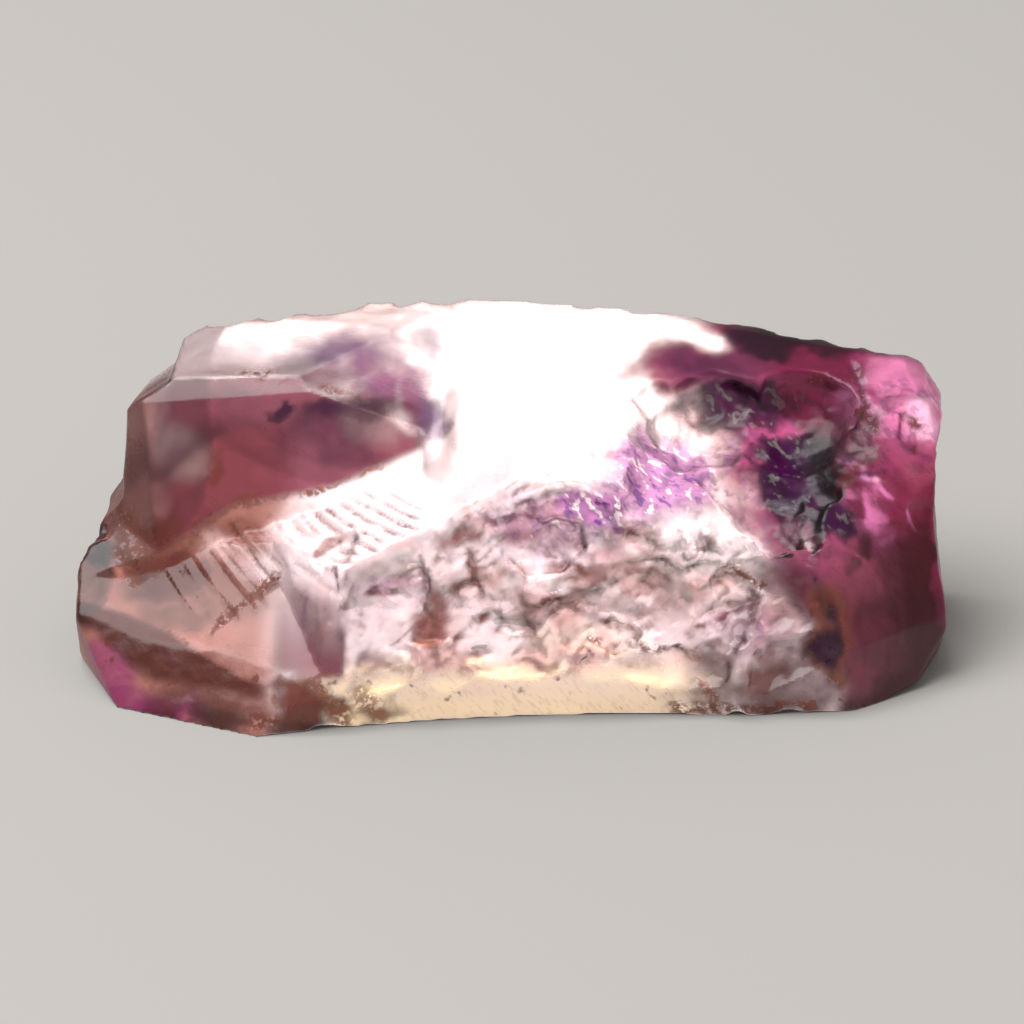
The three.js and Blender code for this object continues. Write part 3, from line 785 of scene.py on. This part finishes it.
def gem_colour(n, hatch, stain):
    """The crystal's tints, with the flecks, painted glints, painted shade in creases and the dirt that lie on
    them.
    """
    colour = CLEAR
    for name, tint in TINTS.items():
        colour = n.mix(n.attribute(name), colour, tint)
    flecks = n.noise(0.42, 2, 0.6, stretch=2.4)
    dark_flecks = n.math("MULTIPLY", n.between(flecks, 0.53, 0.62), n.attribute("flecked"))
    # Painted highlights: pale flecks mixed toward clear stand in for glints.
    painted_glint_flecks = n.math("MULTIPLY", n.between(flecks, 0.42, 0.34), n.attribute("painted_glints"))
    colour = n.mix(dark_flecks, colour, SPOT, "DARKEN")
    colour = n.mix(painted_glint_flecks, colour, CLEAR)
    hatching = n.math("MULTIPLY", n.between(hatch, 0.5, 0.66), n.attribute("rough"))
    colour = n.mix(hatching, colour, HATCH, "MULTIPLY")
    mottled = n.between(n.noise(0.6, 2, 0.6, stretch=2), 0.25, 0.6)
    # Painted shade in creases, hollows and troughs, partly brown dirt, violet in purple zones.
    crease_shade_colour = n.mix(n.attribute("purplish"), CREASE_SHADE_AND_DIRT, VIOLET_CREASE_SHADE)
    colour = n.mix(n.math("MULTIPLY", n.attribute("shade_and_dirt_in_creases"), mottled), colour, crease_shade_colour, "DARKEN")
    colour = n.mix(stain, colour, RUST, "DARKEN")
    dust = n.between(n.noise(0.8, 2, 0.6, stretch=1.4), 0.63, 0.69, 0.9)
    colour = n.mix(n.math("MULTIPLY", dust, n.attribute("dusty")), colour, RUST, "DARKEN")
    return n.mix(n.attribute("speck"), colour, SPECK)


def gem_material():
    n = Nodes("ametrine")
    hatch = n.noise(0.16, 3, 0.6, stretch=4)
    stain = n.math("MULTIPLY", n.attribute("stain"), n.between(n.noise(0.3, 2, 0.7), 0.36, 0.52))
    rough = n.math("ADD", n.attribute("rough"), n.math("MULTIPLY", stain, 0.4), clamp=True)

    bump = n.add("ShaderNodeBump")
    bump.inputs["Distance"].default_value = GRAIN_DEPTH
    bump.inputs["Strength"].default_value = 0.6
    n.put(n.math("MULTIPLY", hatch, n.attribute("rough")), bump.inputs["Height"])

    shader = n.add("ShaderNodeBsdfPrincipled")
    shader.inputs["Transmission Weight"].default_value = 1.0
    shader.inputs["IOR"].default_value = QUARTZ_IOR
    n.put(gem_colour(n, hatch, stain), shader.inputs["Base Color"])
    n.put(rough, shader.inputs["Roughness"])
    n.put(bump.outputs["Normal"], shader.inputs["Normal"])

    volume = n.add("ShaderNodeVolumeAbsorption")
    volume.inputs["Color"].default_value = ABSORPTION
    volume.inputs["Density"].default_value = ABSORPTION_DENSITY
    return n.finish(shader.outputs["BSDF"], volume.outputs["Volume"])


def paper_material():
    n = Nodes("paper")
    shader = n.add("ShaderNodeBsdfPrincipled")
    shader.inputs["Base Color"].default_value = PAPER
    shader.inputs["Roughness"].default_value = 0.9
    return n.finish(shader.outputs["BSDF"])


def ametrine():
    surface = cad_surface(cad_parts[NODE])
    obj = remeshed(surface, "ametrine_stone", QUAD)
    skin = Skin(obj.data)
    area = shape(skin, surface)
    surface.free()
    tint = tints(skin.points, area)
    write_attributes(obj.data, {
        **{name: steeped(share, TINTS[name]) for name, share in tint.items()},
        "purplish": np.maximum.reduce([tint[name] for name in ("lavender", "plum", "wine", "dark")]),
        # Painted shade in creases, hollows and troughs, partly brown dirt.
        "shade_and_dirt_in_creases": steeped(crease_shade_and_dirt(skin.points, area, skin.hollowness(times=10)), CREASE_SHADE_AND_DIRT),
        "stain": steeped(stains(skin.points), RUST),
        "dusty": np.maximum(area["foot"], area["brown"]),
        "flecked": np.maximum(tint["lavender"], 0.6 * area["corner"]),
        # Where the painted glints lie: pale flecks as painted highlights.
        "painted_glints": np.maximum.reduce([tint["lavender"], 0.01 * area["hollow"], 0.06 * area["corner"]]),
        "speck": specks(skin.points),
        "rough": roughness(area),
    })
    obj.data.transform(Matrix.Scale(MM, 4))
    obj.data.shade_smooth()
    obj.data.materials.clear()
    obj.data.materials.append(gem_material())
    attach(obj, "root")
    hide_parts(NODE)
    return obj


# --- The studio ---

LIGHT_BOUNCES = 12
FLOOR_HALF = 1.5
FLOOR_GAP = 0.01 * MM  # keeps the floor just under the stone


def floor():
    half = FLOOR_HALF
    mesh = bpy.data.meshes.new("floor")
    corners = [(x, y, -FLOOR_GAP) for x, y in ((-half, -half), (half, -half), (half, half), (-half, half))]
    mesh.from_pydata(corners, [], [(0, 1, 2, 3)])
    mesh.materials.append(paper_material())
    obj = bpy.data.objects.new("floor", mesh)
    bpy.context.scene.collection.objects.link(obj)


def softbox(name, place, size, brightness, colour=(1, 1, 1), aim=(0, 0, 0.006), only=None):
    """A light of that size in metres, turned to the stone. It may light one object alone, past the floor."""
    light = bpy.data.lights.new(name, "AREA")
    light.shape = "RECTANGLE"
    light.size, light.size_y = size
    light.energy = brightness * math.pi * size[0] * size[1]
    light.color = colour
    obj = bpy.data.objects.new(name, light)
    obj.location = place
    obj.rotation_euler = (Vector(aim) - Vector(place)).to_track_quat("-Z", "Y").to_euler()
    obj.visible_camera = False
    bpy.context.scene.collection.objects.link(obj)
    if only:
        lit = bpy.data.collections.new(name + "_lights")
        lit.objects.link(only)
        obj.light_linking.receiver_collection = lit
        obj.light_linking.blocker_collection = lit


def studio(stone):
    world = bpy.data.worlds.new("studio")
    bpy.context.scene.world = world
    world.use_nodes = True
    background = world.node_tree.nodes["Background"]
    background.inputs["Color"].default_value = (1.0, 0.97, 0.95, 1)
    background.inputs["Strength"].default_value = 0.27
    rosy = (1, 0.88, 0.91)
    softbox("under", (-0.004, 0.045, -0.05), size=(0.05, 0.07), brightness=10.6, colour=rosy, only=stone)
    softbox("key", (-0.2, -0.05, 0.45), size=(0.4, 0.4), brightness=3.7)


def camera():
    """A long lens that looks down at the stone's broken front."""
    low, high = CAD_BOX
    share_of_frame = 0.851  # how much of the frame's width the stone fills
    elevation = math.radians(28)
    distance = 0.2
    data = bpy.data.cameras.new("camera")
    data.sensor_width = 36
    data.lens = data.sensor_width * distance * share_of_frame / (high.x - low.x)
    data.shift_x = 0.001
    data.shift_y = 0.003
    data.clip_start = 0.01
    obj = bpy.data.objects.new("camera", data)
    back = Vector((0, -math.cos(elevation), math.sin(elevation)))
    target = Vector((0, -0.33 * MM, 6.5 * MM))
    obj.location = target + distance * back
    obj.rotation_euler = (-back).to_track_quat("-Z", "Y").to_euler()
    bpy.context.scene.collection.objects.link(obj)
    bpy.context.scene.camera = obj


def picture_settings():
    """Plain colours, and no light followed through the stone onto the floor, which takes long to render."""
    scene = bpy.context.scene
    scene.view_settings.view_transform = "Standard"
    scene.cycles.max_bounces = LIGHT_BOUNCES
    scene.cycles.transmission_bounces = LIGHT_BOUNCES
    scene.cycles.caustics_reflective = False
    scene.cycles.caustics_refractive = False


stone = ametrine()
floor()
studio(stone)
camera()
picture_settings()
